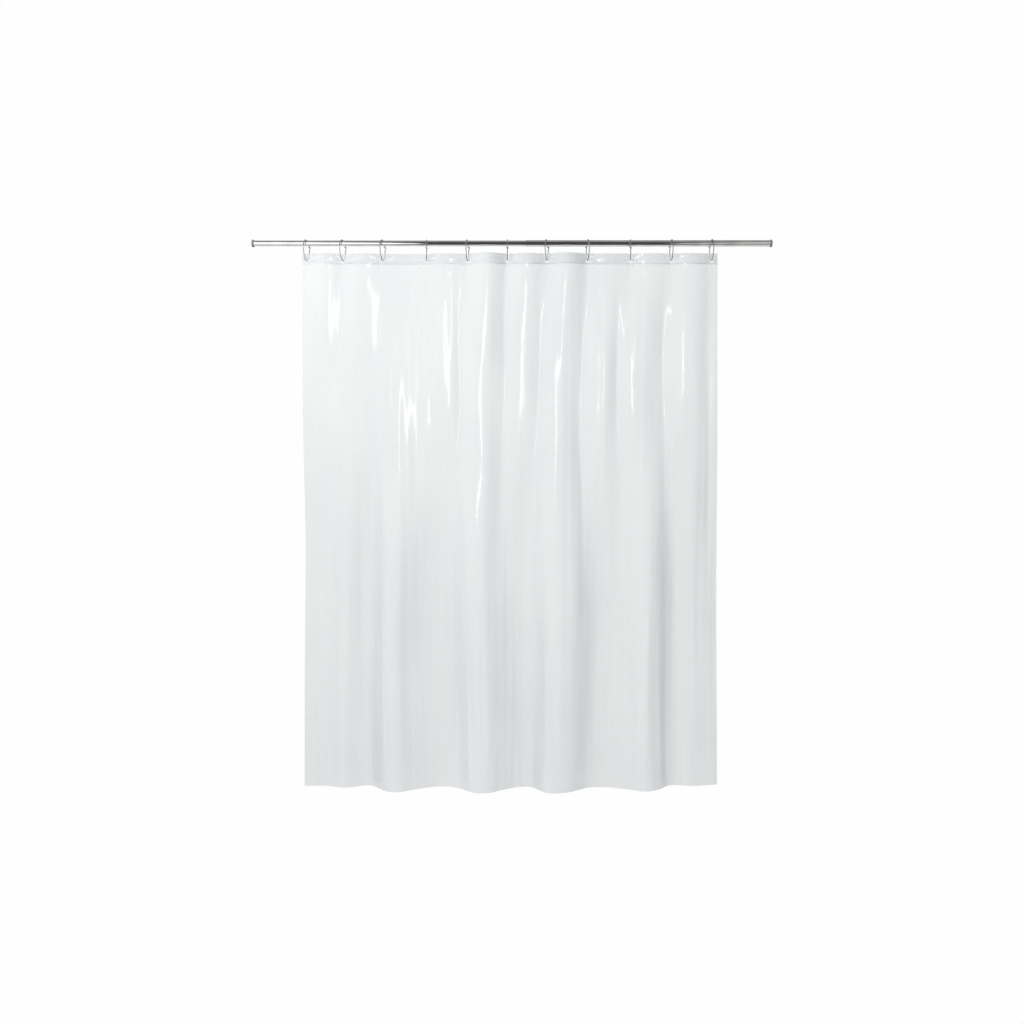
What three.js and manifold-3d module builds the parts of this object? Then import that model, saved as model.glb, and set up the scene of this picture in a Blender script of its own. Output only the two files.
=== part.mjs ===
// Clear film shower curtain on a telescopic tension rod. Millimetres, +Z up.
// The origin is the centre of the left wall pad's outer face. +X runs along the rod and -Y faces the room.
import * as THREE from 'three';
import { mergeVertices } from 'three/addons/utils/BufferGeometryUtils.js';
import Module from 'manifold-3d';

const wasm = await Module();
wasm.setup();

// ---- Clearances ----
const seatGap = 0.3; // left between two pieces that touch
const hangGap = 0.8; // between a ring's wire and the top of its hole, which clears the wire's bend
const telescopeGap = 0.4; // between the inner tube and the bore of the outer tube

// ---- Rod ----
const rodLength = 1775; // from wall to wall
const innerTubeDiameter = 19;
const tubeWall = 0.8;
const innerTubeShown = 928; // bare inner tube from the left cap to the outer tube's mouth
const tubeOverlap = 250; // inner tube hidden in the outer tube
const rodPushIn = 140; // how much shorter the rod can be set with the curtain on it
const roundSides = 24; // facets round a turned piece

// ---- Rod ends ----
const padDiameter = 25;
const padThickness = 3;
const spigotDiameter = 8;
const spigotLength = 6;
const capDiameter = 25;
const capFlange = 3;
const capPlugLength = 22;

// ---- Lock inside the rod ----
const screwDiameter = 6;
const screwHeadDiameter = 11;
const screwHeadLength = 4;
const bushingLength = 30;
const bushingFlange = 3;
const springLength = 34;
const springWire = 1.4;
const springDiameter = 12.6; // outside the coils
const springTurns = 6;
const gripPlugLength = 36;
const gripPlugTaper = 1.2; // how much thinner, in radius, the plug's screw end is

// ---- Rings ----
const ringWire = 3;
const ringHeight = 72; // between the wire's centres at the top and at the bottom
const ringDepth = 47; // between the wire's centres, front to back, before the pear shape widens them
const ringPear = 0.28; // how much fuller the top of the loop is than its foot
const ringClasp = 1; // opening between the two ends of the wire
const ringClaspAngle = THREE.MathUtils.degToRad(60); // how far the opening lies from the top, at the back
const wireSides = 6;
const ringSteps = 30;
const ringDrifts = [0, -15, -17, -5, -4, -6, -10, -8, 0, 1, 0]; // each ring's distance from even spacing
const ringTurns = [13, 14, 13, -5, 9, 0, 15, -8, 7, -4, -5]; // each about the vertical, in degrees

// ---- Film ----
const filmDrop = 1830; // from the top edge to the bottom edge
const filmThickness = 0.25; // measured front to back, so the film is about 0.2 across a fold's slope
const bareRodLeft = 171; // rod left uncovered between the wall and the film
const bareRodRight = 185;
const edgeToFirstRing = 14;
const edgeToLastRing = 20;
const headerHeight = 37; // doubled band along the top
const holeDiameter = 8;
const filmAboveHole = 22.7; // from the top edge to the top of a hole
const topSag = 3; // how much the top edge drops between two rings
const bulges = [30, -22, 20, -24, 42, 30, 42, 26, 28, 30]; // out towards the room between the rings
const foldsStart = 60; // below the top edge, the long folds begin to take over from the bulges
const foldsFull = 1000; // below the top edge, the long folds are at their full depth
// Folds at the bottom edge: place across the width from 0 to 1, and distance behind the rod's axis.
const folds = [
  [0, 32], [0.1, 12], [0.165, 36], [0.222, -38], [0.335, 32], [0.425, -48],
  [0.53, 20], [0.615, -44], [0.72, 20], [0.825, -32], [0.91, 36], [1, 50],
];
const filmColumns = 6; // between two rings
const filmRows = 14;
const headerColumns = 9; // between two rings
const holeSides = 12;

// ---- Sizes that follow ----
const innerRadius = innerTubeDiameter / 2;
const innerBore = innerRadius - tubeWall;
const outerBore = innerRadius + telescopeGap;
const outerRadius = outerBore + tubeWall;
const capFace = padThickness + seatGap;
const tubeStart = capFace + capFlange + seatGap;
const mouthX = tubeStart + innerTubeShown;
const innerTubeEnd = mouthX + tubeOverlap;
const filmLeft = bareRodLeft;
const filmWidth = rodLength - bareRodLeft - bareRodRight;
const ringCount = ringDrifts.length;
const ringPitch = (filmWidth - edgeToFirstRing - edgeToLastRing) / (ringCount - 1);
const ringX = ringDrifts.map((drift, i) => filmLeft + edgeToFirstRing + i * ringPitch + drift);
// A ring that the outer tube can reach rides at that tube's height, and the others rest on the inner tube.
const ringTop = ringX.map((x) => {
  const reached = x + ringDepth / 2 > mouthX - rodPushIn;
  return (reached ? outerRadius : innerRadius) + seatGap + ringWire / 2;
});
const highestRingFoot = Math.max(...ringTop) - ringHeight;
const filmTop = highestRingFoot + ringWire / 2 + hangGap + filmAboveHole;
const seamZ = filmTop - headerHeight;

// ---- Materials ----
const chromedSteel = new THREE.MeshStandardMaterial({ color: 0xc9ccd0, roughness: 0.12, metalness: 1 });
const brightWire = new THREE.MeshStandardMaterial({ color: 0xd4d6d9, roughness: 0.15, metalness: 1 });
const zincSteel = new THREE.MeshStandardMaterial({ color: 0x9a9da0, roughness: 0.35, metalness: 1 });
const greyPlastic = new THREE.MeshStandardMaterial({ color: 0xb9bcbf, roughness: 0.4, metalness: 0 });
const whiteNylon = new THREE.MeshStandardMaterial({ color: 0xe8e6e0, roughness: 0.5, metalness: 0 });
const softRubber = new THREE.MeshStandardMaterial({ color: 0x8d9194, roughness: 0.8, metalness: 0 });
const clearFilm = new THREE.MeshStandardMaterial({ color: 0xdfe4e8, roughness: 0.2, metalness: 0 });
const doubledFilm = new THREE.MeshStandardMaterial({ color: 0xd3d9dd, roughness: 0.25, metalness: 0 });

const curtain = new THREE.Group();

function add(name, geometry, material) {
  const mesh = new THREE.Mesh(geometry, material);
  mesh.name = name;
  curtain.add(mesh);
  return mesh;
}

// Turns an outline of [x, radius] points round the rod's axis.
function turned(outline) {
  const points = outline.map(([x, radius]) => new THREE.Vector2(radius, x));
  return new THREE.LatheGeometry(points, roundSides).rotateZ(-Math.PI / 2);
}

// The same outline at the rod's right end, facing the other way.
function mirrored(outline) {
  return outline.map(([x, radius]) => [rodLength - x, radius]).reverse();
}

function sleeve(x0, x1, bore, radius) {
  return [[x0, bore], [x0, radius], [x1, radius], [x1, bore], [x0, bore]];
}

// Round section swept along a curve, with closed ends.
function wire(path, diameter, sides, steps) {
  const section = new THREE.Shape();
  section.absarc(0, 0, diameter / 2, 0, 2 * Math.PI);
  return new THREE.ExtrudeGeometry(section, {
    extrudePath: path,
    steps,
    curveSegments: sides / 2,
    bevelEnabled: false,
  });
}

// ---- Rod tubes ----
add('inner_tube', turned(sleeve(tubeStart, innerTubeEnd, innerBore, innerRadius)), chromedSteel);
add('outer_tube', turned(sleeve(mouthX, rodLength - tubeStart, outerBore, outerRadius)), chromedSteel);

// ---- Wall pads: a rubber disc whose spigot sits in the cap ----
const padOutline = [
  [0, 0], [0, padDiameter / 2],
  [padThickness, padDiameter / 2],
  [padThickness, spigotDiameter / 2],
  [padThickness + spigotLength, spigotDiameter / 2],
  [padThickness + spigotLength, 0],
];
add('wall_pad_left', turned(padOutline), softRubber);
add('wall_pad_right', turned(mirrored(padOutline)), softRubber);

// ---- End caps: a flange against the tube's end and a plug in its bore ----
function capOutline(bore) {
  const socketRadius = spigotDiameter / 2 + seatGap;
  const socketEnd = padThickness + spigotLength + seatGap;
  const plugRadius = bore - seatGap;
  return [
    [socketEnd, 0], [socketEnd, socketRadius],
    [capFace, socketRadius],
    [capFace, capDiameter / 2],
    [capFace + capFlange, capDiameter / 2],
    [capFace + capFlange, plugRadius],
    [capFace + capPlugLength, plugRadius],
    [capFace + capPlugLength, 0],
  ];
}
add('end_cap_left', turned(capOutline(innerBore)), greyPlastic);
add('end_cap_right', turned(mirrored(capOutline(outerBore))), greyPlastic);

// ---- Lock: twisting the outer tube draws the grip plug up the screw and spreads it in the bore ----
const screwHole = screwDiameter / 2 + seatGap;
const flangeFace = innerTubeEnd + seatGap;
const springStart = flangeFace + bushingFlange + seatGap;
const springEnd = springStart + springLength;
const plugStart = springEnd + seatGap;
const plugEnd = plugStart + gripPlugLength;
const headEnd = innerTubeEnd - bushingLength - seatGap;
add('lock_bushing', turned([
  [innerTubeEnd - bushingLength, screwHole],
  [innerTubeEnd - bushingLength, innerBore - seatGap],
  [flangeFace, innerBore - seatGap],
  [flangeFace, innerRadius],
  [flangeFace + bushingFlange, innerRadius],
  [flangeFace + bushingFlange, screwHole],
  [innerTubeEnd - bushingLength, screwHole],
]), whiteNylon);
add('lock_screw', turned([
  [headEnd - screwHeadLength, 0],
  [headEnd - screwHeadLength, screwHeadDiameter / 2],
  [headEnd, screwHeadDiameter / 2],
  [headEnd, screwDiameter / 2],
  [plugEnd, screwDiameter / 2],
  [plugEnd, 0],
]), zincSteel);
add('grip_plug', turned([
  [plugStart, screwHole],
  [plugStart, outerBore - seatGap - gripPlugTaper],
  [plugStart + gripPlugLength / 2, outerBore - seatGap],
  [plugEnd, outerBore - seatGap],
  [plugEnd, screwHole],
  [plugStart, screwHole],
]), whiteNylon);

class Helix extends THREE.Curve {
  getPoint(t, target = new THREE.Vector3()) {
    const angle = 2 * Math.PI * springTurns * t;
    const radius = (springDiameter - springWire) / 2;
    const travel = springLength - springWire;
    const x = springStart + springWire / 2 + travel * t;
    return target.set(x, radius * Math.cos(angle), radius * Math.sin(angle));
  }
}
add('tension_spring', wire(new Helix(), springWire, wireSides, springTurns * 12), zincSteel);

// ---- Rings: one bent wire each, a pear-shaped loop that is open by the width of its clasp ----
class RingLoop extends THREE.Curve {
  getPoint(t, target = new THREE.Vector3()) {
    const halfOpening = ringClasp / ringHeight;
    const angle = ringClaspAngle + halfOpening + t * (2 * Math.PI - 2 * halfOpening);
    const y = (ringDepth / 2) * Math.sin(angle) * (1 + ringPear * Math.cos(angle));
    const z = (ringHeight / 2) * (Math.cos(angle) - 1);
    return target.set(0, y, z);
  }
}
ringX.forEach((x, i) => {
  const name = `ring_${String(i + 1).padStart(2, '0')}`;
  const ring = add(name, wire(new RingLoop(), ringWire, wireSides, ringSteps), brightWire);
  ring.position.set(x, 0, ringTop[i]);
  ring.rotation.z = -THREE.MathUtils.degToRad(ringTurns[i]);
});

// ---- Film ----
// Distance behind the rod's axis near the rings: nothing at a ring and one bulge between each two.
function bulgeAt(x) {
  const gap = ringX.findIndex((next, i) => i > 0 && x <= next) - 1;
  if (gap < 0) {
    return 0;
  }
  const s = Math.max(0, (x - ringX[gap]) / (ringX[gap + 1] - ringX[gap]));
  return -bulges[gap] * Math.sin(Math.PI * s);
}

// How far the top edge hangs below the line of the rings.
function sagAt(x) {
  return x < ringX[0] || x > ringX[ringCount - 1] ? 0 : topSag * Math.abs(bulgeAt(x)) / Math.max(...bulges);
}

// Distance behind the rod's axis at the bottom edge: half a cosine wave from each fold to the next.
function foldAt(x) {
  const across = (x - filmLeft) / filmWidth;
  const next = Math.max(1, folds.findIndex(([place]) => place >= across - 1e-9));
  const [placeA, depthA] = folds[next - 1];
  const [placeB, depthB] = folds[next];
  const s = (across - placeA) / (placeB - placeA);
  return depthA + (depthB - depthA) * (1 - Math.cos(Math.PI * s)) / 2;
}

function filmPoint(x, below) {
  const share = THREE.MathUtils.smoothstep(below, foldsStart, foldsFull);
  const y = bulgeAt(x) * (1 - share) + foldAt(x) * share;
  const z = filmTop - below - sagAt(x) * (1 - share);
  return [x, y, z];
}

// A closed sheet between two heights below the top edge: a front and a back grid, joined round their edges.
function sheetGeometry(from, to, thickness, columnsPerGap, rows) {
  const places = [filmLeft];
  for (let gap = 0; gap < ringCount - 1; gap += 1) {
    for (let step = 0; step < columnsPerGap; step += 1) {
      places.push(THREE.MathUtils.lerp(ringX[gap], ringX[gap + 1], step / columnsPerGap));
    }
  }
  places.push(ringX[ringCount - 1], filmLeft + filmWidth);
  const columns = places.length - 1;
  const positions = [];
  for (const side of [-0.5, 0.5]) {
    for (let row = 0; row <= rows; row += 1) {
      for (const x of places) {
        const [px, py, pz] = filmPoint(x, from + ((to - from) * row) / rows);
        positions.push(px, py + side * thickness, pz);
      }
    }
  }
  const back = (rows + 1) * (columns + 1);
  const at = (row, column) => row * (columns + 1) + column;
  const faces = [];
  const quad = (a, b, c, d) => faces.push(a, b, c, a, c, d);
  for (let row = 0; row < rows; row += 1) {
    for (let column = 0; column < columns; column += 1) {
      const [a, b] = [at(row, column), at(row + 1, column)];
      const [c, d] = [at(row + 1, column + 1), at(row, column + 1)];
      quad(a, b, c, d);
      // The back is split along the same diagonal as the front, so the two never cross.
      quad(back + a, back + d, back + c, back + b);
    }
  }
  for (let column = 0; column < columns; column += 1) {
    quad(at(0, column), at(0, column + 1), back + at(0, column + 1), back + at(0, column));
    quad(at(rows, column + 1), at(rows, column), back + at(rows, column), back + at(rows, column + 1));
  }
  for (let row = 0; row < rows; row += 1) {
    quad(at(row + 1, 0), at(row, 0), back + at(row, 0), back + at(row + 1, 0));
    quad(at(row, columns), at(row + 1, columns), back + at(row + 1, columns), back + at(row, columns));
  }
  const geometry = new THREE.BufferGeometry();
  geometry.setAttribute('position', new THREE.Float32BufferAttribute(positions, 3));
  geometry.setIndex(faces);
  return geometry;
}

function toSolid(geometry) {
  const bare = geometry.clone();
  bare.deleteAttribute('normal');
  bare.deleteAttribute('uv');
  const merged = mergeVertices(bare);
  return new wasm.Manifold(new wasm.Mesh({
    numProp: 3,
    vertProperties: new Float32Array(merged.attributes.position.array),
    triVerts: new Uint32Array(merged.index.array),
  }));
}

function toGeometry(solid) {
  const { vertProperties, triVerts } = solid.getMesh();
  const geometry = new THREE.BufferGeometry();
  geometry.setAttribute('position', new THREE.BufferAttribute(vertProperties, 3));
  geometry.setIndex(new THREE.BufferAttribute(triVerts, 1));
  return geometry;
}

// The holes are punched so that each one's top edge rests on its ring's wire.
let header = toSolid(sheetGeometry(0, headerHeight, 2 * filmThickness, headerColumns, 2));
ringX.forEach((x, i) => {
  const holeTop = ringTop[i] - ringHeight + ringWire / 2 + hangGap;
  const punchLength = ringDepth;
  const punch = new THREE.CylinderGeometry(holeDiameter / 2, holeDiameter / 2, punchLength, holeSides);
  punch.translate(x, 0, holeTop - holeDiameter / 2);
  header = header.subtract(toSolid(punch));
});
add('header_strip', toGeometry(header), doubledFilm);
const film = sheetGeometry(headerHeight + seatGap, filmDrop, filmThickness, filmColumns, filmRows);
add('film_sheet', film, clearFilm);

export default curtain;
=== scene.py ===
import math

import bmesh
import bpy
import numpy as np
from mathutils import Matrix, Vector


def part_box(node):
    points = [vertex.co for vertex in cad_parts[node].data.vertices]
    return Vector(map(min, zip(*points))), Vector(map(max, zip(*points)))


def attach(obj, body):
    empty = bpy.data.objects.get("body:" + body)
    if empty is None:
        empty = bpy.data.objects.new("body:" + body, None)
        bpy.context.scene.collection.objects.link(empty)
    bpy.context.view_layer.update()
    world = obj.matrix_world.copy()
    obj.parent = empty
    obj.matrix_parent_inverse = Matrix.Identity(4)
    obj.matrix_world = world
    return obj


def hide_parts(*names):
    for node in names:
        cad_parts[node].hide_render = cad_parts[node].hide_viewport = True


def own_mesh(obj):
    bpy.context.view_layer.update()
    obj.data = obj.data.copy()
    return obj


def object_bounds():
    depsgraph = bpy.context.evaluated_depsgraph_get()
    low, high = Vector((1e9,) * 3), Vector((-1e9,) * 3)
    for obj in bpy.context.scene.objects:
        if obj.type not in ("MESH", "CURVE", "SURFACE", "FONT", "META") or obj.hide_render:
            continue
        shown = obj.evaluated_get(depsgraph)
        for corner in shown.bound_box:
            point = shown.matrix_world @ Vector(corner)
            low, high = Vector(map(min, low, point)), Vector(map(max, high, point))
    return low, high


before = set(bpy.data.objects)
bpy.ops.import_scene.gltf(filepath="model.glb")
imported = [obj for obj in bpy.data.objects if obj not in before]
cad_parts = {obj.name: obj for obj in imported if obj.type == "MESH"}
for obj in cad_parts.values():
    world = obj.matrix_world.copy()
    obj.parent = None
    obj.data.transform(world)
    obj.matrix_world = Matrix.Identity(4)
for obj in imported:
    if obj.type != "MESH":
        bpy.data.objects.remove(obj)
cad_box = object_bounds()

# ---- Inner tube ----
# The thinner of the rod's two tubes: a seam-welded steel tube, polished and chrome plated. Its left end
# holds the end cap, and its right end is hidden in the outer tube with the lock.


def linear(hex_colour):
    """Turns sRGB hex to linear RGBA. A channel c becomes ((c + 0.055) / 1.055) ^ 2.4, or c / 12.92 where it
    is below 0.04045."""
    srgb = np.array([int(hex_colour[i : i + 2], 16) for i in (1, 3, 5)]) / 255
    low, high = srgb / 12.92, ((srgb + 0.055) / 1.055) ** 2.4
    return (*np.where(srgb <= 0.04045, low, high), 1.0)


def add_node(tree, kind, settings, **inputs):
    """Adds one node. settings are its own values, and each input takes a plain value or another node's
    output. An input that is named by its number starts with an underscore."""
    made = tree.nodes.new(kind)
    for key, value in settings.items():
        setattr(made, key, value)
    for key, value in inputs.items():
        socket = made.inputs[int(key[1:]) if key[0] == "_" else key.replace("_", " ")]
        if isinstance(value, bpy.types.NodeSocket):
            tree.links.new(value, socket)
        else:
            socket.default_value = value
    return made


def new_material(name, **shader_values):
    """A material with one Principled shader. Values that are the same all over are set on its sockets."""
    made = bpy.data.materials.new(name)
    made.use_nodes = True
    shader = made.node_tree.nodes["Principled BSDF"]
    for key, value in shader_values.items():
        shader.inputs[key.replace("_", " ")].default_value = value
    return made, made.node_tree, shader


def grid_object(name, points, wrap_columns=False, cut=None, uv=None):
    """Joins a (rows, columns, 3) array of points into quads, each from (r, c) to (r, c + 1), (r + 1, c + 1)
    and (r + 1, c). wrap_columns joins the last column to the first, and cut marks the cells left out."""
    rows, columns = points.shape[:2]
    number = np.arange(rows * columns).reshape(rows, columns)
    if wrap_columns:
        number = np.hstack([number, number[:, :1]])
    corners = [number[:-1, :-1], number[:-1, 1:], number[1:, 1:], number[1:, :-1]]
    quads = np.stack(corners, -1).reshape(-1, 4)
    if cut is not None:
        quads = quads[~cut.ravel()]
    used, quads = np.unique(quads, return_inverse=True)
    quads = quads.reshape(-1, 4)
    mesh = bpy.data.meshes.new(name)
    mesh.vertices.add(len(used))
    mesh.vertices.foreach_set("co", points.reshape(-1, 3)[used].astype(np.float32).ravel())
    mesh.loops.add(quads.size)
    mesh.loops.foreach_set("vertex_index", quads.astype(np.int32).ravel())
    mesh.polygons.add(len(quads))
    mesh.polygons.foreach_set("loop_start", np.arange(0, quads.size, 4, dtype=np.int32))
    mesh.polygons.foreach_set("use_smooth", np.ones(len(quads), bool))
    if uv is not None:
        layer = mesh.uv_layers.new(name="Flat")
        layer.data.foreach_set("uv", uv.reshape(-1, 2)[used][quads.ravel()].astype(np.float32).ravel())
    mesh.update(calc_edges=True)
    mesh.validate()
    made = bpy.data.objects.new(name, mesh)
    bpy.context.scene.collection.objects.link(made)
    return made


def close_poles(piece):
    """Merges the coincident points where a turned or swept surface meets its axis, and turns its faces
    outwards."""
    work = bmesh.new()
    work.from_mesh(piece.data)
    bmesh.ops.remove_doubles(work, verts=work.verts, dist=2e-7)
    bmesh.ops.recalc_face_normals(work, faces=work.faces)
    work.to_mesh(piece.data)
    work.free()
    return piece


def rounded(outline, radius, steps=4):
    """Rounds each inner corner of an open [x, r] outline. Points at the radius before and after the corner,
    or at 0.3 of the shorter edge where that is less, are joined by a parabola that touches both edges:
    (1 - s)^2 * start + 2 s (1 - s) * corner + s^2 * end. A guard point beyond each one keeps the straight
    parts straight."""
    outline = np.array(outline, float)
    made = [outline[:1]]
    for before, corner, after in zip(outline[:-2], outline[1:-1], outline[2:]):
        back, on = before - corner, after - corner
        reach = min(radius, 0.3 * np.linalg.norm(back), 0.3 * np.linalg.norm(on))
        start = corner + back * reach / np.linalg.norm(back)
        end = corner + on * reach / np.linalg.norm(on)
        share = np.linspace(0, 1, steps + 1)[:, None]
        curve = (1 - share) ** 2 * start + 2 * share * (1 - share) * corner + share**2 * end
        guard = [corner + (start - corner) * 1.4, corner + (end - corner) * 1.4]
        made += [guard[0][None], curve, guard[1][None]]
    made.append(outline[-1:])
    return np.vstack(made)


def turned(name, outline, sides=72):
    """Carries an outline of [x, radius] points round the rod's axis: (x, radius * cos a, radius * sin a)."""
    angle = np.linspace(0, 2 * np.pi, sides, endpoint=False)
    x, radius = np.array(outline)[:, :1], np.array(outline)[:, 1:]
    points = np.stack([x + 0 * angle, radius * np.cos(angle), radius * np.sin(angle)], -1)
    return close_poles(grid_object(name, points, wrap_columns=True))


def tube_outline(x0, x1, bore, radius, lip):
    """A tube's wall as a closed outline: out along the outside, back along the bore, both rims rounded."""
    middle = (x0 + x1) / 2
    loop = [[middle, radius], [x1, radius], [x1, bore], [x0, bore], [x0, radius], [middle, radius]]
    return rounded(loop, lip)


def plated(name, colours, scratch_mm, roughness):
    """A plated metal: a mirror with a faint grey drift, and with hairlines along the rod's axis that vary its
    roughness. Their spacing is given in mm."""
    made, tree, shader = new_material(name, Metallic=1.0)
    place = add_node(tree, "ShaderNodeTexCoord", {})
    along = add_node(tree, "ShaderNodeMapping", {}, Vector=place.outputs["Object"], Scale=(0.03, 1, 1))
    lines = add_node(tree, "ShaderNodeTexNoise", {}, Vector=along.outputs[0], Scale=1000 / scratch_mm,
                     Detail=3.0)
    cloud = add_node(tree, "ShaderNodeTexNoise", {}, Vector=place.outputs["Object"], Scale=18.0, Detail=2.0)
    tone = add_node(tree, "ShaderNodeValToRGB", {}, Fac=cloud.outputs["Fac"])
    tone.color_ramp.elements[0].position = 0.3
    tone.color_ramp.elements[0].color = linear(colours[0])
    tone.color_ramp.elements[1].position = 0.7
    tone.color_ramp.elements[1].color = linear(colours[1])
    rough = add_node(tree, "ShaderNodeMapRange", {}, Value=lines.outputs["Fac"], To_Min=roughness[0],
                     To_Max=roughness[1])
    relief = add_node(tree, "ShaderNodeBump", {}, Height=lines.outputs["Fac"], Strength=0.04, Distance=0.0002)
    tree.links.new(tone.outputs["Color"], shader.inputs["Base Color"])
    tree.links.new(rough.outputs[0], shader.inputs["Roughness"])
    tree.links.new(relief.outputs[0], shader.inputs["Normal"])
    return made


def dress(piece, finish, body, slot, *nodes):
    """Gives a piece its finish, the body that it moves with and the CAD nodes that it stands for.
    The slot argument is not used."""
    piece.data.materials.clear()
    piece.data.materials.append(finish)
    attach(piece, body)
    if nodes:
        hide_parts(*nodes)
    return piece


# Tube wall and the rounding of its rims, in metres like every other size here.
WALL = 0.0008
RIM = 0.00035
inner_low, inner_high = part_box("inner_tube")
inner_radius = (inner_high[2] - inner_low[2]) / 2
# Chrome over polished steel gives a neutral, nearly perfect mirror.
rod_chrome = plated("chrome_plated_steel", ("#bbbbbb", "#d3d2d1"), 0.6, (0.05, 0.13))
inner_bore = inner_radius - WALL
inner_tube = turned("thin_tube", tube_outline(inner_low[0], inner_high[0], inner_bore, inner_radius, RIM))
dress(inner_tube, rod_chrome, "rod_inner", "rod_chrome", "inner_tube")

# ---- Outer tube ----
# The thicker tube is steel, plated like the inner one, and slides over it to set the rod's length. Its rims
# are rolled smooth so that the rings pass.
outer_low, outer_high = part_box("outer_tube")
outer_radius = (outer_high[2] - outer_low[2]) / 2
outer_bore = outer_radius - WALL
outer_tube = turned("thick_tube", tube_outline(outer_low[0], outer_high[0], outer_bore, outer_radius, RIM))
dress(outer_tube, rod_chrome, "rod_outer", "rod_chrome", "outer_tube")

# ---- End caps ----
# Moulded plastic plugs pressed into the tube ends, which ribs hold in the bore. The low round flange outside
# carries the wall pad.


def moulded(name, colours, grain_mm, roughness, bump_mm):
    """Moulded plastic or rubber: fine spark-eroded grain from the mould, with a slight drift in shade. The
    grain's width and depth are given in mm."""
    made, tree, shader = new_material(name, IOR=1.46)
    place = add_node(tree, "ShaderNodeTexCoord", {})
    grain = add_node(tree, "ShaderNodeTexNoise", {}, Vector=place.outputs["Object"], Scale=1000 / grain_mm,
                     Detail=4.0)
    drift = add_node(tree, "ShaderNodeTexNoise", {}, Vector=place.outputs["Object"], Scale=60.0)
    tone = add_node(tree, "ShaderNodeValToRGB", {}, Fac=drift.outputs["Fac"])
    tone.color_ramp.elements[0].color = linear(colours[0])
    tone.color_ramp.elements[1].color = linear(colours[1])
    rough = add_node(tree, "ShaderNodeMapRange", {}, Value=grain.outputs["Fac"], To_Min=roughness[0],
                     To_Max=roughness[1])
    relief = add_node(tree, "ShaderNodeBump", {}, Height=grain.outputs["Fac"], Strength=0.3,
                      Distance=bump_mm / 1000)
    tree.links.new(tone.outputs["Color"], shader.inputs["Base Color"])
    tree.links.new(rough.outputs[0], shader.inputs["Roughness"])
    tree.links.new(relief.outputs[0], shader.inputs["Normal"])
    return made


# Polypropylene from a spark-eroded mould gives an even, satin grey.
cap_plastic = moulded("moulded_grey_polypropylene", ("#8f9396", "#a3a7aa"), 0.5, (0.28, 0.45), 0.05)
# The flange's thickness, and how much smaller it is where it meets the tube.
FLANGE = 0.003
FLANGE_SLOPE = 0.0006
# The gap between ribs and bore, the ribs, and how far the first and last stand from the plug's ends.
PLUG_GAP = 0.0003
RIB_HEIGHT = 0.0004
RIB_HALF = 0.001
RIB_COUNT = 4
FIRST_RIB = 0.004
LAST_RIB = 0.003
# The socket in the flange that takes the wall pad's spigot.
SOCKET_DEPTH = 0.0063
SOCKET_RADIUS = 0.0043
CAP_ROUNDING = 0.0006
rod_end = cad_box[1][0]


def end_cap(name, node, bore, body, mirrored):
    """Turns a cap from its outline: a hollow for the spigot, the flange, then the ribbed plug. x runs from
    the wall, and for the right cap it is taken from the rod's other end."""
    low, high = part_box(node)
    face, tip = (rod_end - high[0], rod_end - low[0]) if mirrored else (low[0], high[0])
    flange_radius = (high[2] - low[2]) / 2
    plug = bore - PLUG_GAP
    root = plug - RIB_HEIGHT
    ribs = np.linspace(face + FLANGE + FIRST_RIB, tip - LAST_RIB, RIB_COUNT)
    outline = [[face + SOCKET_DEPTH, 0], [face + SOCKET_DEPTH, SOCKET_RADIUS]]
    outline += [[face, SOCKET_RADIUS], [face, flange_radius]]
    outline += [[face + FLANGE, flange_radius - FLANGE_SLOPE], [face + FLANGE, root]]
    for rib in ribs:
        outline += [[rib - RIB_HALF, root], [rib, plug], [rib + RIB_HALF, root]]
    outline += [[tip, root], [tip, 0]]
    outline = rounded(outline, CAP_ROUNDING)
    if mirrored:
        outline = outline * [-1, 1] + [rod_end, 0]
    return dress(turned(name, outline), cap_plastic, body, "cap_plastic", node)


end_cap("left_cap", "end_cap_left", inner_bore, "rod_inner", False)
end_cap("right_cap", "end_cap_right", outer_bore, "rod_outer", True)

# ---- Wall pads ----
# Soft rubber discs between cap and wall. Each snaps into its cap by a spigot, and the three grooves moulded
# in its wall face help it grip.
# Moulded rubber gives a darker grey than the caps, and hardly any shine.
pad_rubber = moulded("moulded_grey_rubber", ("#6d7174", "#7e8285"), 0.35, (0.55, 0.75), 0.08)
# The disc's thickness, and the spigot that snaps into the cap.
PAD = 0.003
SPIGOT_RADIUS = 0.004
# A groove is this deep, and twice this wide.
GROOVE = 0.0006
PAD_ROUNDING = 0.0007


def wall_pad(name, node, body, mirrored):
    """Turns a pad from its outline: a disc with three shallow V grooves in its wall face, then the spigot."""
    low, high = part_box(node)
    radius = (high[2] - low[2]) / 2
    depth = high[0] - low[0]
    grooves = np.linspace(0.3, 0.8, 3) * radius
    outline = [[0, 0]]
    for groove in grooves:
        outline += [[0, groove - GROOVE], [GROOVE, groove], [0, groove + GROOVE]]
    outline += [[0, radius], [PAD, radius], [PAD, SPIGOT_RADIUS], [depth, SPIGOT_RADIUS], [depth, 0]]
    outline = rounded(outline, PAD_ROUNDING)
    if mirrored:
        outline = outline * [-1, 1] + [rod_end, 0]
    return dress(turned(name, outline), pad_rubber, body, "pad_rubber", node)


wall_pad("left_pad", "wall_pad_left", "rod_inner", False)
wall_pad("right_pad", "wall_pad_right", "rod_outer", True)

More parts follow.
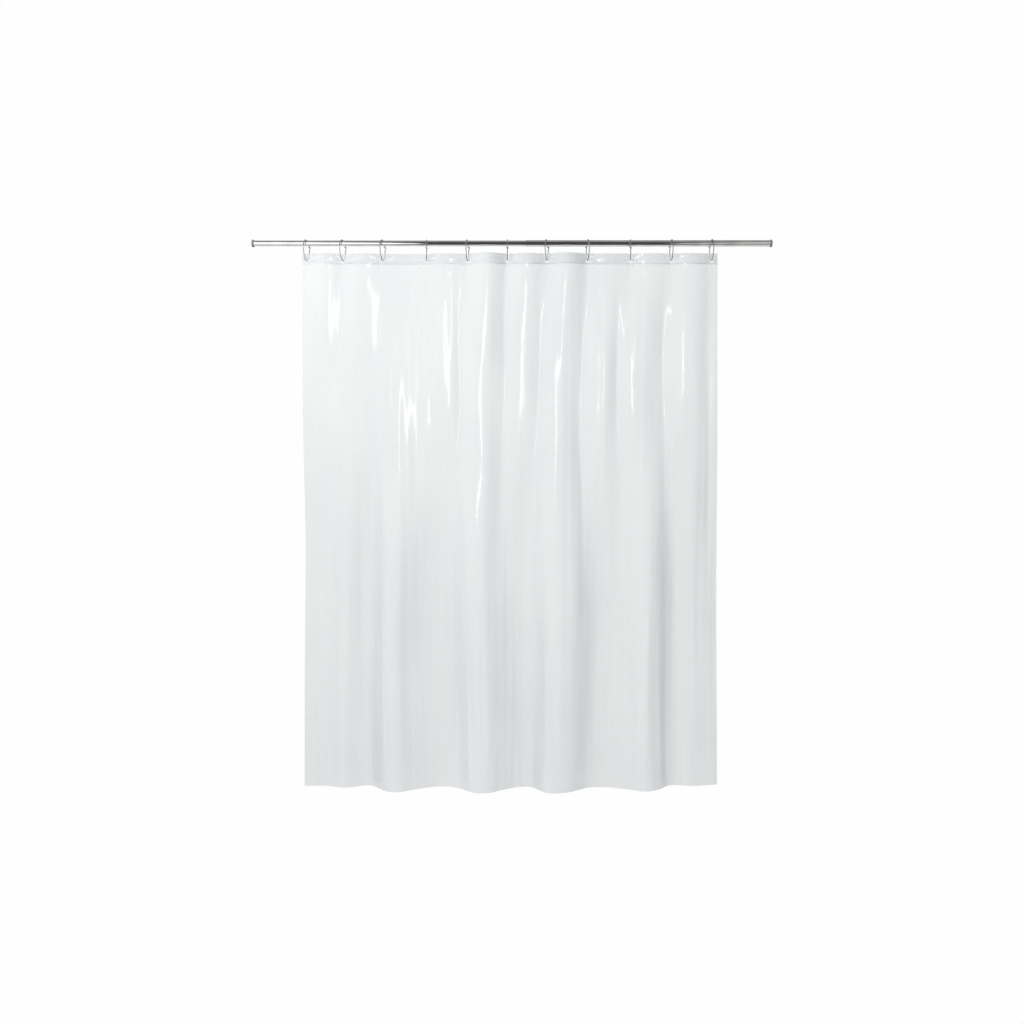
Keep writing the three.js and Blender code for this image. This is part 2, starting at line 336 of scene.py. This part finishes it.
# ---- Lock ----
# Inside the tubes: a nylon bushing and grip plug on a zinc-plated screw, with a spring between. They stay as
# the CAD made them and only get their finishes.
# Natural nylon gives a warm off-white with a soft sheen, and zinc plating a dull grey shine.
lock_nylon = moulded("moulded_natural_nylon", ("#ded9cc", "#ece8de"), 0.4, (0.35, 0.5), 0.04)
lock_steel = plated("zinc_plated_steel", ("#8d9094", "#a6a9ac"), 0.4, (0.28, 0.42))
for name, finish in (
    ("lock_bushing", lock_nylon),
    ("grip_plug", lock_nylon),
    ("lock_screw", lock_steel),
    ("tension_spring", lock_steel),
):
    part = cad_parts[name]
    part.data.materials.clear()
    part.data.materials.append(finish)

# ---- Rings ----
# Each ring is one length of bright nickel-plated steel wire bent to a pear-shaped loop. At the back one end
# curls round the other as a clasp, which is sprung open to thread the film on.
# How deep the loop is from front to back, and how much fuller it is above than below.
RING_DEPTH = 0.047
RING_PEAR = 0.28
WIRE_RADIUS = 0.0015
# The clasp's place on the loop, and stretches of the loop as angles in radians: how far before the clasp the
# curled end starts, where its curl and its step aside end, and how far the other end runs past the clasp.
CLASP_ANGLE = math.radians(60)
CURL_START = 0.035
CURL = 0.09
STEP_ASIDE = 0.3
OVERLAP = 0.12
CLASP_APART = 2.15 * WIRE_RADIUS
# Each ring hangs turned about the vertical, in degrees.
RING_TURNS = (13, 14, 13, -5, 9, 0, 15, -8, 7, -4, -5)
# Nickel over drawn wire gives a slightly darker and softer mirror than the rod's chrome.
ring_wire = plated("nickel_plated_wire", ("#9da0a3", "#c2c4c6"), 0.5, (0.1, 0.2))


def swept(name, path, side, radius, sides=16):
    """Carries a circle along a path: path + radius * (cos a * normal + sin a * across). The normal is square
    to the path and to the side direction, and across is square to the path and to the normal."""
    along = np.gradient(path, axis=0)
    along /= np.linalg.norm(along, axis=1, keepdims=True)
    normal = np.cross(along, side)
    normal /= np.linalg.norm(normal, axis=1, keepdims=True)
    across = np.cross(normal, along)
    angle = np.linspace(0, 2 * np.pi, sides, endpoint=False)[None, :, None]
    ring = np.cos(angle) * normal[:, None] + np.sin(angle) * across[:, None]
    return close_poles(grid_object(name, path[:, None] + radius[:, None, None] * ring, wrap_columns=True))


def wire_loop(height):
    """The loop in its own plane, from the clasp round the foot and back over the top. At angle a from the top
    it is at y = depth / 2 * sin a * (1 + pear * cos a) and z = height / 2 * (cos a - 1). The first end steps
    aside by one wire and curls three quarters of a turn round the last end."""
    angle = np.concatenate([
        CLASP_ANGLE + np.linspace(-CURL_START, STEP_ASIDE, 60),
        CLASP_ANGLE + np.linspace(STEP_ASIDE, 2 * np.pi + OVERLAP, 190)[1:],
    ])
    y = RING_DEPTH / 2 * np.sin(angle) * (1 + RING_PEAR * np.cos(angle))
    z = height / 2 * (np.cos(angle) - 1)
    outward = np.stack([0 * y, np.sin(angle), np.cos(angle) - 0.1], -1)
    outward /= np.linalg.norm(outward, axis=1, keepdims=True)
    aside = np.clip((angle - CLASP_ANGLE) / STEP_ASIDE, 0, 1)
    apart = CLASP_APART * (1 - aside**2 * (3 - 2 * aside))
    curl = 1.5 * np.pi * np.clip(1 - (angle - CLASP_ANGLE) / CURL, 0, 1)
    return np.stack([apart * np.cos(curl), y, z], -1) + outward * (apart * np.sin(curl))[:, None]


rings = []
for number, turn in enumerate(RING_TURNS, 1):
    node = f"ring_{number:02d}"
    low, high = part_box(node)
    height = high[2] - low[2] - 2 * WIRE_RADIUS
    path = wire_loop(height)
    step = np.linalg.norm(np.diff(path, axis=0), axis=1)
    travelled = np.concatenate([[0], np.cumsum(step)])
    # Both ends are rounded: the radius runs to nothing there, as on a ball.
    to_end = np.minimum(travelled, travelled[-1] - travelled)
    radius = WIRE_RADIUS * np.sqrt(1 - np.clip(1 - to_end / WIRE_RADIUS, 0, 1) ** 2)
    a = -math.radians(turn)
    axes = np.array([[math.cos(a), math.sin(a), 0], [-math.sin(a), math.cos(a), 0], [0, 0, 1]])
    centre = (low[0] + high[0]) / 2
    path = path @ axes + [centre, 0, high[2] - WIRE_RADIUS]
    piece = swept(f"wire_{node}", path, axes[0], radius)
    rings.append((piece, centre, low[2]))
    dress(piece, ring_wire, node, "ring_wire", node)

# ---- Film ----
# One sheet of frosted clear PEVA film, cast and calendered, glossy on both sides. It hangs from punched holes
# along its top edge, so it bulges between the rings and falls into long folds that merge on the way down.
# The flat sheet is square. The header and the holes are measured down from its top edge.
FLAT = 1.83
HEADER = 0.037
HOLE_RADIUS = 0.004
EDGE_TO_HOLE = 0.0227
HOLE_DEPTH = EDGE_TO_HOLE + HOLE_RADIUS
# The top of a hole stays this far above the wire that it hangs on.
WIRE_GAP = 0.0008
header_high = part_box("header_strip")[1]
film_low, film_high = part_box("film_sheet")
left, right = film_low[0], film_high[0]
top, bottom = header_high[2], film_low[2]
drop = top - bottom
ring_x = np.array([centre for _, centre, _ in rings])
hole_z = np.array([foot for _, _, foot in rings]) + 2 * WIRE_RADIUS + WIRE_GAP - HOLE_RADIUS
# How much the cusp of the bulges at each ring is rounded, as a share of a bulge's height.
CUSP = 0.3
# How far each bulge stands towards the room between two rings, at the very top.
BULGES = np.array([12, 10, -4, 8, 28, 16, 26, 6, 9, 12]) / 1000
# Folds as (place across the hung width, distance behind the rod's axis in mm).
UPPER_FOLDS = [
    (0, 4), (0.05, -7), (0.09, 7), (0.125, -9), (0.165, 6), (0.2, -13), (0.27, 8), (0.335, -10),
    (0.375, 6), (0.424, -19), (0.485, 8), (0.53, -8), (0.572, 6), (0.618, -17), (0.675, 8), (0.728, -15),
    (0.762, 0), (0.806, -15), (0.87, 9), (0.935, -15), (0.978, 6), (1, 2),
]
LOWER_FOLDS = [
    (0, 34), (0.05, 36), (0.1, 14), (0.164, 38), (0.207, -32), (0.236, -36), (0.265, -8), (0.337, 27),
    (0.366, 12), (0.409, -46), (0.438, -49), (0.482, -8), (0.515, 19), (0.552, 19), (0.583, -38), (0.64, -42),
    (0.7, 17), (0.742, 17), (0.786, -4), (0.829, -31), (0.856, -10), (0.885, 37), (0.94, 34), (1, 50),
]
# Distances below the top edge, in metres, where the bulges end and where the lower folds begin and are full.
BULGES_END = 0.42
LOWER_START, LOWER_FULL = 0.45, 1.35
# Below 1, this makes the crests of the upper folds broad and their troughs narrow.
CREST_FULLNESS = 0.65
# The folds lean to and fro by up to this share of the width on the way down.
LEAN = 0.008
# Up to 0.3 of the width the upper folds have this share of their depth, and from 0.45 on all of it.
CALM = 0.2
# The deepest bulge pulls the top edge down by this much between its rings.
BULGE_SAG = 0.003
# Heights and lengths of the two slow ripples.
RIPPLE_HEIGHTS = (0.0006, 0.0004)
RIPPLE_LENGTHS = (0.047, 0.029)
# Creases that fan out from a hole: how many, how high, and over what distance they fade.
CREASES = 9
CREASE_HEIGHT = 0.0013
CREASE_REACH = 0.04
# The left edge is drawn in by the first value half way down, and the right edge flares by the second towards
# the hem.
DRAWN_IN = 0.006
FLARE = 0.009


def smooth_step(value, start, end):
    """0 before start, 1 after end, and 3 s^2 - 2 s^3 between."""
    s = np.clip((value - start) / (end - start), 0, 1)
    return s * s * (3 - 2 * s)


def crest_wave(across, folds, fullness):
    """A rounded step from each fold to the next one across the width. It is half a cosine wave of
    s ^ fullness, with s running from the fold behind to the fold in front."""
    places, depths = np.array(folds, float).T
    gap = np.clip(np.searchsorted(places, across, side="right") - 1, 0, len(places) - 2)
    s = (across - places[gap]) / (places[gap + 1] - places[gap])
    behind = np.maximum(depths[gap], depths[gap + 1])
    front = np.minimum(depths[gap], depths[gap + 1])
    s = np.where(depths[gap + 1] < depths[gap], s, 1 - s) ** fullness
    return (behind + (front - behind) * (1 - np.cos(np.pi * s)) / 2) / 1000


def hem_wave(across, folds):
    """A smooth cubic curve through the folds, which passes each one with a slope taken from the folds on both
    sides of it."""
    places, depths = np.array(folds, float).T
    slopes = np.gradient(depths, places)
    gap = np.clip(np.searchsorted(places, across, side="right") - 1, 0, len(places) - 2)
    width = places[gap + 1] - places[gap]
    s = (across - places[gap]) / width
    ends = depths[gap] * (1 + 2 * s) * (1 - s) ** 2 + depths[gap + 1] * s**2 * (3 - 2 * s)
    turns = width * (slopes[gap] * s * (1 - s) ** 2 - slopes[gap + 1] * s**2 * (1 - s))
    return (ends + turns) / 1000


def bulge_wave(x):
    """Nothing at a ring, and a hump between each two rings. A hump is sqrt(sin^2 + cusp^2) - cusp, divided by
    its own height in the middle, which lays the film flat where it passes a ring."""
    gap = np.clip(np.searchsorted(ring_x, x, side="right") - 1, 0, len(ring_x) - 2)
    s = np.clip((x - ring_x[gap]) / (ring_x[gap + 1] - ring_x[gap]), 0, 1)
    hump = np.sqrt(np.sin(np.pi * s) ** 2 + CUSP**2) - CUSP
    return -BULGES[gap] * hump / (math.hypot(1, CUSP) - CUSP)


def film_shape(x, below):
    """The hung film at a place across and a distance below its top edge. y is a sum of shares: the bulges
    between the rings, then the upper folds times a slow swell, then the lower folds that these merge into. To
    it come the ripples and, round each hole, creases as cos(9 * angle) * exp(-distance / reach). z follows
    the wires at the holes, and x is drawn in or flared at the side edges. The loose numbers in the sines only
    keep one wave from falling in step with another."""
    across = (x - left) / (right - left)
    lean = LEAN * np.sin(2 * np.pi * (1.3 * across + 0.7 * below)) * smooth_step(below, 0.1, 0.6)
    place = np.clip(across + lean * np.sin(np.pi * across), 0, 1)
    top_share = 1 - smooth_step(below, 0, BULGES_END)
    low_share = smooth_step(below, LOWER_START, LOWER_FULL)
    swell = CALM + (1 - CALM) * smooth_step(across, 0.3, 0.45)
    swell = swell + 0.22 * np.sin(2 * np.pi * (1.1 * below + 2.3 * across))
    swell = swell + 0.12 * np.sin(2 * np.pi * (2.3 * below - 5 * across))
    y = top_share * bulge_wave(x)
    y = y + (1 - top_share - low_share) * swell * crest_wave(place, UPPER_FOLDS, CREST_FULLNESS)
    y = y + low_share * hem_wave(place, LOWER_FOLDS)
    wander = 3 * np.sin(1.7 * below) + 2 * np.sin(9 * x)
    ripple = RIPPLE_HEIGHTS[0] * np.sin(2 * np.pi * x / RIPPLE_LENGTHS[0] + wander)
    wander = 5 * np.sin(0.9 * below + 4 * x)
    ripple += RIPPLE_HEIGHTS[1] * np.sin(2 * np.pi * x / RIPPLE_LENGTHS[1] + wander)
    y = y + ripple * smooth_step(below, 0.05, 0.25) * (0.6 + 0.4 * np.sin(3.1 * below + 11 * x))
    z = top - below - BULGE_SAG * np.abs(bulge_wave(x)) / BULGES.max() * top_share
    for number, (centre, height) in enumerate(zip(ring_x, hole_z)):
        dx, dz = x - centre, z - height
        far = np.hypot(dx, dz)
        angle = np.arctan2(dx, -dz)
        fan = smooth_step(far, 0.007, 0.018) * np.exp(-far / CREASE_REACH)
        y = y + CREASE_HEIGHT * fan * np.cos(CREASES * angle + 1.7 * number)
        z = z + (height - (top - HOLE_DEPTH)) * np.exp(-((dx / 0.03) ** 2)) * np.exp(-below / 0.3)
    inward = DRAWN_IN * np.exp(-(((below - 0.95) / 0.32) ** 2)) * np.exp(-across / 0.05)
    flare = FLARE * smooth_step(below, 0.3, 1.8) * np.exp(-(1 - across) / 0.1)
    return np.stack([x + inward + flare, y, z], -1)


# Round a hole the grid is a fine patch of 1 mm cells, 6 of them each way from its centre. The middle 4 each
# way are the hole.
CELL = 0.001
FINE = 6
HOLE_CELLS = 4
COLUMNS_PER_GAP = 24
# The upper part, with the bulges, has finer rows than the rest.
UPPER_PART = 0.32
# The pull of the bulges on both sides draws each punched hole a little wider than it is high.
HOLE_STRETCH = 1.3
fine = np.arange(-FINE, FINE + 1) * CELL
wide = fine * HOLE_STRETCH
columns = [np.linspace(left, ring_x[0] + wide[0], 4)[:-1]]
for here, following in zip(ring_x[:-1], ring_x[1:]):
    columns += [here + wide, np.linspace(here + wide[-1], following + wide[0], COLUMNS_PER_GAP)[1:-1]]
columns += [ring_x[-1] + wide, np.linspace(ring_x[-1] + wide[-1], right, 4)[1:]]
columns = np.concatenate(columns)
rows = np.concatenate([
    np.linspace(0, HOLE_DEPTH + fine[0], 9)[:-1],
    HOLE_DEPTH + fine,
    np.linspace(HEADER, UPPER_PART, 56)[:-1],
    np.linspace(UPPER_PART, drop, 140),
])
flat_x, flat_z = np.meshgrid(columns, rows)
nearest = np.abs(flat_x[..., None] - ring_x).argmin(-1)
off_x, off_z = (flat_x - ring_x[nearest]) / HOLE_STRETCH, flat_z - HOLE_DEPTH
# Inside the fine patch, square rings of points become round ones, fully so at the hole's rim.
square = np.maximum(np.abs(off_x), np.abs(off_z))
distance = np.maximum(np.hypot(off_x, off_z), 1e-9)
patch = FINE * CELL
roundness = np.clip((patch - square) / ((FINE - HOLE_CELLS) * CELL), 0, 1) * (square < patch)
grow = 1 + roundness * (square / distance - 1)
flat_x, flat_z = ring_x[nearest] + off_x * grow * HOLE_STRETCH, HOLE_DEPTH + off_z * grow
cell_x = np.abs((columns[1:] + columns[:-1])[:, None] / 2 - ring_x).min(-1) / HOLE_STRETCH
cell_z = np.abs((rows[1:] + rows[:-1]) / 2 - HOLE_DEPTH)
holes = np.maximum(cell_x[None, :], cell_z[:, None]) < HOLE_CELLS * CELL
points = film_shape(flat_x, flat_z)
flat_uv = np.stack([(flat_x - left) / (right - left) * FLAT, drop - flat_z], -1)
# The pressed line's height, its soft edge, and its opacity.
WELD = 0.003
WELD_EDGE = 0.0008
WELD_OPACITY = 0.82


def film_material(name, colours, opacity, weld=None):
    """Frosted clear film: it lets part of the light through, with a faint cool haze, streaks drawn down the
    web as it was cast, and a wet gloss from the calender rolls. Seen at a slope, light passes more film, so
    the opacity is 1 - (1 - opacity) ^ (1 / cos slope). The frost is finer than shows, so it is drawn about
    2 mm across. weld is the height above the hem of a line where a heated bar has pressed two films into one
    dense one."""
    made, tree, shader = new_material(name, IOR=1.5, Coat_Weight=0.6, Coat_Roughness=0.06)
    flat = add_node(tree, "ShaderNodeUVMap", {"uv_map": "Flat"})
    drawn = add_node(tree, "ShaderNodeMapping", {}, Vector=flat.outputs[0], Scale=(1, 0.035, 1))
    streaks = add_node(tree, "ShaderNodeTexNoise", {}, Vector=drawn.outputs[0], Scale=60.0, Detail=4.0,
                       Roughness=0.6)
    buckled = add_node(tree, "ShaderNodeMapping", {}, Vector=flat.outputs[0], Scale=(1, 0.35, 1))
    crinkle = add_node(tree, "ShaderNodeTexNoise", {}, Vector=buckled.outputs[0], Scale=55.0, Detail=1.5)
    frost = add_node(tree, "ShaderNodeTexNoise", {}, Vector=flat.outputs[0], Scale=500.0, Detail=2.0)
    clouds = add_node(tree, "ShaderNodeTexNoise", {}, Vector=flat.outputs[0], Scale=2.2, Detail=2.0)
    tone = add_node(tree, "ShaderNodeValToRGB", {}, Fac=clouds.outputs["Fac"])
    tone.color_ramp.elements[0].position = 0.35
    tone.color_ramp.elements[0].color = linear(colours[0])
    tone.color_ramp.elements[1].position = 0.65
    tone.color_ramp.elements[1].color = linear(colours[1])
    rough = add_node(tree, "ShaderNodeMapRange", {}, Value=streaks.outputs["Fac"], To_Min=0.1, To_Max=0.3)
    clear = add_node(tree, "ShaderNodeMapRange", {}, Value=streaks.outputs["Fac"], From_Min=0.25,
                     From_Max=0.75, To_Min=1 - opacity[0], To_Max=1 - opacity[1])
    slope = add_node(tree, "ShaderNodeLayerWeight", {}, Blend=0.5)
    cosine = add_node(tree, "ShaderNodeMath", {"operation": "SUBTRACT"}, _0=1.04, _1=slope.outputs["Facing"])
    passes = add_node(tree, "ShaderNodeMath", {"operation": "DIVIDE"}, _0=1.0, _1=cosine.outputs[0])
    through = add_node(tree, "ShaderNodeMath", {"operation": "POWER"}, _0=clear.outputs[0],
                       _1=passes.outputs[0])
    cover = add_node(tree, "ShaderNodeMath", {"operation": "SUBTRACT"}, _0=1.0, _1=through.outputs[0])
    if weld is not None:
        height = add_node(tree, "ShaderNodeSeparateXYZ", {}, Vector=flat.outputs[0])
        above = add_node(tree, "ShaderNodeMath", {"operation": "SUBTRACT"}, _0=height.outputs["Y"], _1=weld)
        pressed = add_node(tree, "ShaderNodeMapRange", {}, Value=above.outputs[0], From_Min=WELD + WELD_EDGE,
                           From_Max=WELD, To_Min=0.0, To_Max=WELD_OPACITY)
        cover = add_node(tree, "ShaderNodeMath", {"operation": "MAXIMUM"}, _0=cover.outputs[0],
                         _1=pressed.outputs[0])
    webbing = add_node(tree, "ShaderNodeBump", {}, Height=streaks.outputs["Fac"], Strength=0.2,
                       Distance=0.0015)
    buckle = add_node(tree, "ShaderNodeBump", {}, Height=crinkle.outputs["Fac"], Strength=0.35,
                      Distance=0.002, Normal=webbing.outputs[0])
    relief = add_node(tree, "ShaderNodeBump", {}, Height=frost.outputs["Fac"], Strength=0.05,
                      Distance=0.0004, Normal=buckle.outputs[0])
    tree.links.new(tone.outputs["Color"], shader.inputs["Base Color"])
    tree.links.new(rough.outputs[0], shader.inputs["Roughness"])
    tree.links.new(cover.outputs[0], shader.inputs["Alpha"])
    tree.links.new(relief.outputs[0], shader.inputs["Normal"])
    return made


def hang(piece, slot, node, finish):
    """A sheet that swings with the film's body."""
    dress(piece, finish, "curtain", slot, node)
    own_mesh(piece)


clear_film = film_material("frosted_clear_peva", ("#d9dedf", "#e2e6e7"), (0.48, 0.58))
film = grid_object("clear_film", points, cut=holes, uv=flat_uv)
hang(film, "clear_film", "film_sheet", clear_film)

# ---- Header band ----
# A second strip of the same film, heat welded behind the top edge so that the punched holes don't tear. The
# weld along its lower edge shows as a dense white line.
# The strip stands this far behind the film.
BAND_GAP = 0.0006
band_rows = np.searchsorted(rows, HEADER - 1e-6) + 1
band_points = points[:band_rows] + [0, BAND_GAP, 0]
# Its own haze adds to that of the film in front, so the doubled strip is whiter and less clear.
doubled = film_material("welded_double_peva", ("#e3e5e6", "#eceeee"), (0.38, 0.48), drop - HEADER)
band = grid_object("header_band", band_points, cut=holes[: band_rows - 1], uv=flat_uv[:band_rows])
hang(band, "doubled_film", "header_strip", doubled)

# ---- Studio ----
# A pale floor below the hem under an even white surround. A tall softbox in front draws the glossy streaks,
# and a broad light from the upper left fades across the film. Cards light the rings and both ends of the rod,
# and the film's back has a softbox and a broad light of its own.
# The floor lies this far below the hem, and is a disc so wide that its edge doesn't show.
FLOOR_DROP = 0.3
floor_z = cad_box[0][2] - FLOOR_DROP
angle = np.linspace(0, 2 * np.pi, 96, endpoint=False)
reach = np.array([0.0, 2.0, 8.0, 60.0])[:, None]
disc = np.stack([0.9 + reach * np.cos(angle), reach * np.sin(angle), floor_z + 0 * reach * angle], -1)
floor = close_poles(grid_object("floor", disc, wrap_columns=True))
# The camera sees the floor as white. Mirrored, it is dark towards the front, and white under the film and
# behind it. All other light meets the matt floor itself.
floor_paint, floor_tree, floor_shader = new_material("matt_white_floor", Roughness=0.9)
floor_shader.inputs["Base Color"].default_value = linear("#999c9e")
eye = add_node(floor_tree, "ShaderNodeLightPath", {})
ground = add_node(floor_tree, "ShaderNodeTexCoord", {})
nearness = add_node(floor_tree, "ShaderNodeSeparateXYZ", {}, Vector=ground.outputs["Object"])
mirror = add_node(floor_tree, "ShaderNodeMapRange", {}, Value=nearness.outputs["Y"], From_Min=-1.1,
                  From_Max=-0.35, To_Min=0.1, To_Max=1.0)
even = add_node(floor_tree, "ShaderNodeMath", {"operation": "MAXIMUM"}, _0=mirror.outputs[0],
                _1=eye.outputs["Is Camera Ray"])
white_card = add_node(floor_tree, "ShaderNodeEmission", {}, Color=linear("#fefefe"),
                      Strength=even.outputs[0])
seen = add_node(floor_tree, "ShaderNodeMath", {"operation": "MAXIMUM"}, _0=eye.outputs["Is Camera Ray"],
                _1=eye.outputs["Is Glossy Ray"])
ground_mix = add_node(floor_tree, "ShaderNodeMixShader", {}, _0=seen.outputs[0], _1=floor_shader.outputs[0],
                      _2=white_card.outputs[0])
floor_tree.links.new(ground_mix.outputs[0], floor_tree.nodes["Material Output"].inputs[0])
floor.data.materials.append(floor_paint)

# The camera sees a white surround. Mirrors see it light above and behind, and dark in front, most so on the
# left. All other light from it is a fill that is brighter from the left.
world = bpy.data.worlds.new("studio_surround")
bpy.context.scene.world = world
world.use_nodes = True
surround = world.node_tree
surround.nodes.clear()
facing = add_node(surround, "ShaderNodeTexCoord", {})
direction = add_node(surround, "ShaderNodeSeparateXYZ", {}, Vector=facing.outputs["Generated"])
upward = add_node(surround, "ShaderNodeMapRange", {}, Value=direction.outputs["Z"], From_Min=0.5,
                  From_Max=0.8)
behind = add_node(surround, "ShaderNodeMapRange", {}, Value=direction.outputs["Y"], From_Min=-0.2,
                  From_Max=0.3)
bright = add_node(surround, "ShaderNodeMath", {"operation": "MAXIMUM"}, _0=upward.outputs[0],
                  _1=behind.outputs[0])
mirrored = add_node(surround, "ShaderNodeMix", {"data_type": "RGBA"}, _0=bright.outputs[0])
dark = add_node(surround, "ShaderNodeMapRange", {}, Value=direction.outputs["X"], From_Min=0.1, From_Max=0.3,
                To_Min=0.075, To_Max=0.3)
surround.links.new(dark.outputs[0], mirrored.inputs[6])
mirrored.inputs[7].default_value = linear("#b5b5b4")
side = add_node(surround, "ShaderNodeMapRange", {}, Value=direction.outputs["X"], From_Min=-0.9,
                From_Max=0.9)
fill = add_node(surround, "ShaderNodeMix", {"data_type": "RGBA"}, _0=side.outputs[0])
fill.inputs[6].default_value = linear("#fafafb")
fill.inputs[7].default_value = linear("#d0d3d5")
ray = add_node(surround, "ShaderNodeLightPath", {})
lit = add_node(surround, "ShaderNodeMix", {"data_type": "RGBA"}, _0=ray.outputs["Is Glossy Ray"],
               _6=fill.outputs[2], _7=mirrored.outputs[2])
shown = add_node(surround, "ShaderNodeMix", {"data_type": "RGBA"}, _0=ray.outputs["Is Camera Ray"],
                 _6=lit.outputs[2])
shown.inputs[7].default_value = linear("#fefefe")
room = add_node(surround, "ShaderNodeBackground", {}, Color=shown.outputs[2], Strength=1.0)
add_node(surround, "ShaderNodeOutputWorld", {}, Surface=room.outputs[0])


def area_light(name, place, aim, size, power, colour="#ffffff"):
    """A rectangular soft light at a place, turned so that it shines at its aim."""
    data = bpy.data.lights.new(name, "AREA")
    data.shape = "RECTANGLE"
    data.size, data.size_y = size
    data.energy = power
    data.color = linear(colour)[:3]
    lamp = bpy.data.objects.new(name, data)
    bpy.context.scene.collection.objects.link(lamp)
    lamp.location = place
    way = np.array(aim) - np.array(place)
    tilt = math.atan2(math.hypot(way[0], way[1]), -way[2])
    lamp.rotation_euler = (tilt, 0, math.atan2(way[1], way[0]) - math.pi / 2)
    lamp.visible_camera = False
    return lamp


middle = (left + right) / 2
rod_middle = rod_end / 2
beyond = rod_end + 0.5
softbox = area_light("softbox", (middle, -3.3, 0.05), (middle, 0, -0.4), (0.34, 0.9), 10)
window = area_light("left_window", (-0.35, -1.6, 0.5), (0.5, 0, -0.4), (1.1, 1.1), 26, "#fffdfa")
window.visible_glossy = False
rod_card = area_light("rod_card", (-0.25, -0.8, -0.35), (-0.25, 0, -0.35), (1.5, 1.7), 11)
rod_card.data.shape = "ELLIPSE"
far_card = area_light("far_rod_card", (beyond, -0.8, -0.35), (beyond, 0, -0.35), (1.4, 1.7), 3.6)
far_card.data.shape = "ELLIPSE"
rear_box = area_light("rear_softbox", (middle, 3.3, 0.05), (middle, 0, -0.4), (0.34, 0.9), 10)
rear_window = area_light("rear_window", (2.1, 1.6, 0.5), (1.2, 0, -0.4), (1.1, 1.1), 33, "#fffdfa")
rear_window.visible_glossy = False
ring_card = area_light("ring_card", (rod_middle, -3.0, 0.85), (rod_middle, 0, 0), (2.6, 0.9), 14)
# The softboxes and the rear light serve only the films, the ring card only the rings, and the two rod cards
# only the tubes and the rings.
films = bpy.data.collections.new("films")
films.objects.link(film)
films.objects.link(band)
for box in (softbox, rear_box, rear_window):
    box.light_linking.receiver_collection = films
wires = bpy.data.collections.new("wires")
for piece, _, _ in rings:
    wires.objects.link(piece)
ring_card.light_linking.receiver_collection = wires
metals = bpy.data.collections.new("metals")
for piece in (inner_tube, outer_tube, *(piece for piece, _, _ in rings)):
    metals.objects.link(piece)
for card in (rod_card, far_card):
    card.light_linking.receiver_collection = metals

# ---- Camera ----
# Level, about half way down the film, and looking square at the rod's middle. The lens takes in the whole rod
# with a margin on both sides.
CAMERA_DISTANCE = 3.15
CAMERA_HEIGHT = -0.918
camera_data = bpy.data.cameras.new("camera")
camera_data.sensor_width = 36.0
camera_data.lens = 32.4
camera = bpy.data.objects.new("camera", camera_data)
bpy.context.scene.collection.objects.link(camera)
camera.location = (rod_middle, -CAMERA_DISTANCE, CAMERA_HEIGHT)
camera.rotation_euler = (math.pi / 2, 0, 0)
bpy.context.scene.camera = camera
bpy.context.scene.view_settings.view_transform = "Standard"
